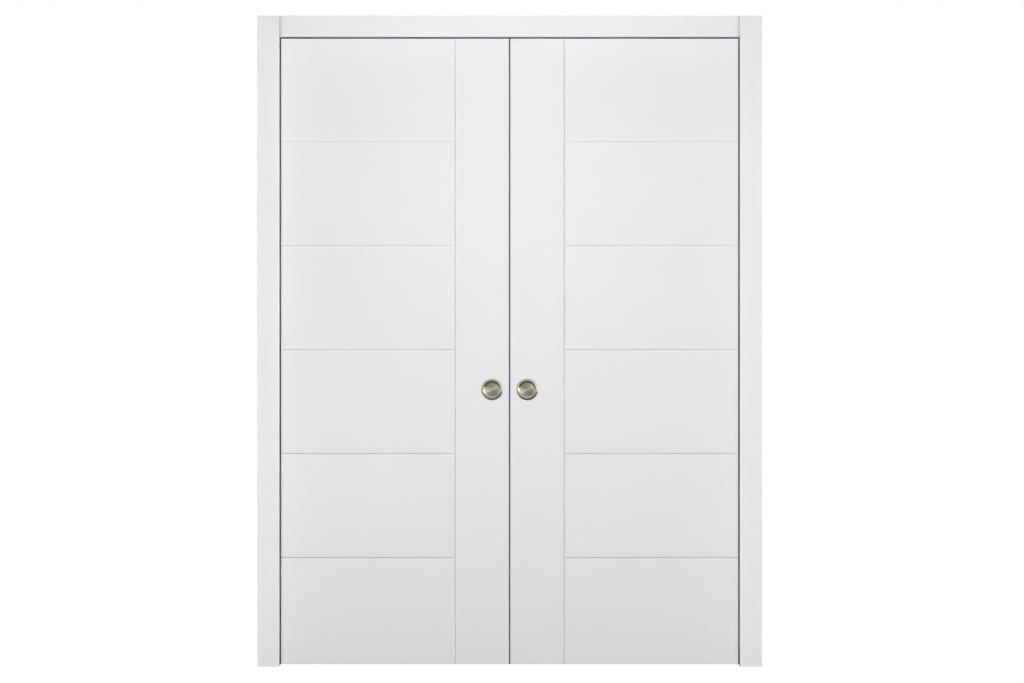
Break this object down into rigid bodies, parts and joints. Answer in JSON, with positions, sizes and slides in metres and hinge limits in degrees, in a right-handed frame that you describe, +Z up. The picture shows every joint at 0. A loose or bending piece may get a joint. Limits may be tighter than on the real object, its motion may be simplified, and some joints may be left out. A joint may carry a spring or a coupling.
{
  "type": "double pocket door",
  "caption": "White grooved door leaves that slide apart on a concealed rail into wall pockets, with split jambs, flat casings and round flush pulls.",
  "frame": {"origin": "on the floor, midway between the jambs and in the middle of the wall's thickness", "axes": "+X along the wall to the right seen from the front, +Y through the wall to the back, +Z up"},
  "size_m": [3.0484, 0.1506, 2.098],
  "materials": {
    "paint": "white satin paint on fibreboard",
    "core": "painted softwood and board",
    "timber": "planed softwood",
    "nickel": "satin nickel",
    "aluminium": "clear anodised",
    "steel": "zinc plated",
    "zinc": "die cast, matt",
    "nylon": "white nylon",
    "rubber": "black, matt",
    "pile": "dark woven pile"
  },
  "bodies": {
    "frame": {"head_board": "timber", "middle_stop": "rubber", "front_head_jamb": "paint", "front_casing_head": "paint", "front_head_seal": "pile", "back_head_jamb": "paint", "back_casing_head": "paint", "back_head_seal": "pile", "left_rail": "aluminium", "left_open_stop": "zinc", "left_bumper": "rubber", "left_floor_guide": "nylon", "left_front_jamb": "paint", "front_casing_left": "paint", "left_front_seal": "pile", "left_back_jamb": "paint", "back_casing_left": "paint", "left_back_seal": "pile", "right_rail": "aluminium", "right_open_stop": "zinc", "right_bumper": "rubber", "right_floor_guide": "nylon", "right_front_jamb": "paint", "front_casing_right": "paint", "right_front_seal": "pile", "right_back_jamb": "paint", "back_casing_right": "paint", "right_back_seal": "pile"},
    "left_leaf": {"left_leaf_core": "core", "left_meeting_seal": "rubber", "left_front_skin": "paint", "left_front_pull": "nickel", "left_back_skin": "paint", "left_back_pull": "nickel", "left_inner_hanger_plate": "steel", "left_inner_hanger_bolt": "steel", "left_inner_hanger_trolley": "zinc", "left_outer_hanger_plate": "steel", "left_outer_hanger_bolt": "steel", "left_outer_hanger_trolley": "zinc"},
    "left_inner_hanger_near_wheels": {"left_inner_hanger_near_wheels": "nylon"},
    "left_inner_hanger_far_wheels": {"left_inner_hanger_far_wheels": "nylon"},
    "left_outer_hanger_near_wheels": {"left_outer_hanger_near_wheels": "nylon"},
    "left_outer_hanger_far_wheels": {"left_outer_hanger_far_wheels": "nylon"},
    "right_leaf": {"right_leaf_core": "core", "right_meeting_seal": "rubber", "right_front_skin": "paint", "right_front_pull": "nickel", "right_back_skin": "paint", "right_back_pull": "nickel", "right_inner_hanger_plate": "steel", "right_inner_hanger_bolt": "steel", "right_inner_hanger_trolley": "zinc", "right_outer_hanger_plate": "steel", "right_outer_hanger_bolt": "steel", "right_outer_hanger_trolley": "zinc"},
    "right_inner_hanger_near_wheels": {"right_inner_hanger_near_wheels": "nylon"},
    "right_inner_hanger_far_wheels": {"right_inner_hanger_far_wheels": "nylon"},
    "right_outer_hanger_near_wheels": {"right_outer_hanger_near_wheels": "nylon"},
    "right_outer_hanger_far_wheels": {"right_outer_hanger_far_wheels": "nylon"}
  },
  "joints": [
    {"name": "left_leaf_slide", "type": "slide", "parent": "frame", "child": "left_leaf", "axis": [-1, 0, 0], "range_m": [0, 0.64]},
    {"name": "left_inner_hanger_near_wheels_turn", "type": "hinge", "parent": "left_leaf", "child": "left_inner_hanger_near_wheels", "pos_m": [-0.04, 0, 2.0595], "axis": [0, -1, 0], "continuous": true},
    {"name": "left_inner_hanger_far_wheels_turn", "type": "hinge", "parent": "left_leaf", "child": "left_inner_hanger_far_wheels", "pos_m": [-0.084, 0, 2.0595], "axis": [0, -1, 0], "continuous": true},
    {"name": "left_outer_hanger_near_wheels_turn", "type": "hinge", "parent": "left_leaf", "child": "left_outer_hanger_near_wheels", "pos_m": [-0.682, 0, 2.0595], "axis": [0, -1, 0], "continuous": true},
    {"name": "left_outer_hanger_far_wheels_turn", "type": "hinge", "parent": "left_leaf", "child": "left_outer_hanger_far_wheels", "pos_m": [-0.726, 0, 2.0595], "axis": [0, -1, 0], "continuous": true},
    {"name": "right_leaf_slide", "type": "slide", "parent": "frame", "child": "right_leaf", "axis": [1, 0, 0], "range_m": [0, 0.64]},
    {"name": "right_inner_hanger_near_wheels_turn", "type": "hinge", "parent": "right_leaf", "child": "right_inner_hanger_near_wheels", "pos_m": [0.04, 0, 2.0595], "axis": [0, 1, 0], "continuous": true},
    {"name": "right_inner_hanger_far_wheels_turn", "type": "hinge", "parent": "right_leaf", "child": "right_inner_hanger_far_wheels", "pos_m": [0.084, 0, 2.0595], "axis": [0, 1, 0], "continuous": true},
    {"name": "right_outer_hanger_near_wheels_turn", "type": "hinge", "parent": "right_leaf", "child": "right_outer_hanger_near_wheels", "pos_m": [0.682, 0, 2.0595], "axis": [0, 1, 0], "continuous": true},
    {"name": "right_outer_hanger_far_wheels_turn", "type": "hinge", "parent": "right_leaf", "child": "right_outer_hanger_far_wheels", "pos_m": [0.726, 0, 2.0595], "axis": [0, 1, 0], "continuous": true}
  ],
  "couplings": [
    {"joint": "left_inner_hanger_near_wheels_turn", "follows": "left_leaf_slide", "rad_per_m": 111.11},
    {"joint": "left_inner_hanger_far_wheels_turn", "follows": "left_leaf_slide", "rad_per_m": 111.11},
    {"joint": "left_outer_hanger_near_wheels_turn", "follows": "left_leaf_slide", "rad_per_m": 111.11},
    {"joint": "left_outer_hanger_far_wheels_turn", "follows": "left_leaf_slide", "rad_per_m": 111.11},
    {"joint": "right_inner_hanger_near_wheels_turn", "follows": "right_leaf_slide", "rad_per_m": 111.11},
    {"joint": "right_inner_hanger_far_wheels_turn", "follows": "right_leaf_slide", "rad_per_m": 111.11},
    {"joint": "right_outer_hanger_near_wheels_turn", "follows": "right_leaf_slide", "rad_per_m": 111.11},
    {"joint": "right_outer_hanger_far_wheels_turn", "follows": "right_leaf_slide", "rad_per_m": 111.11}
  ]
}
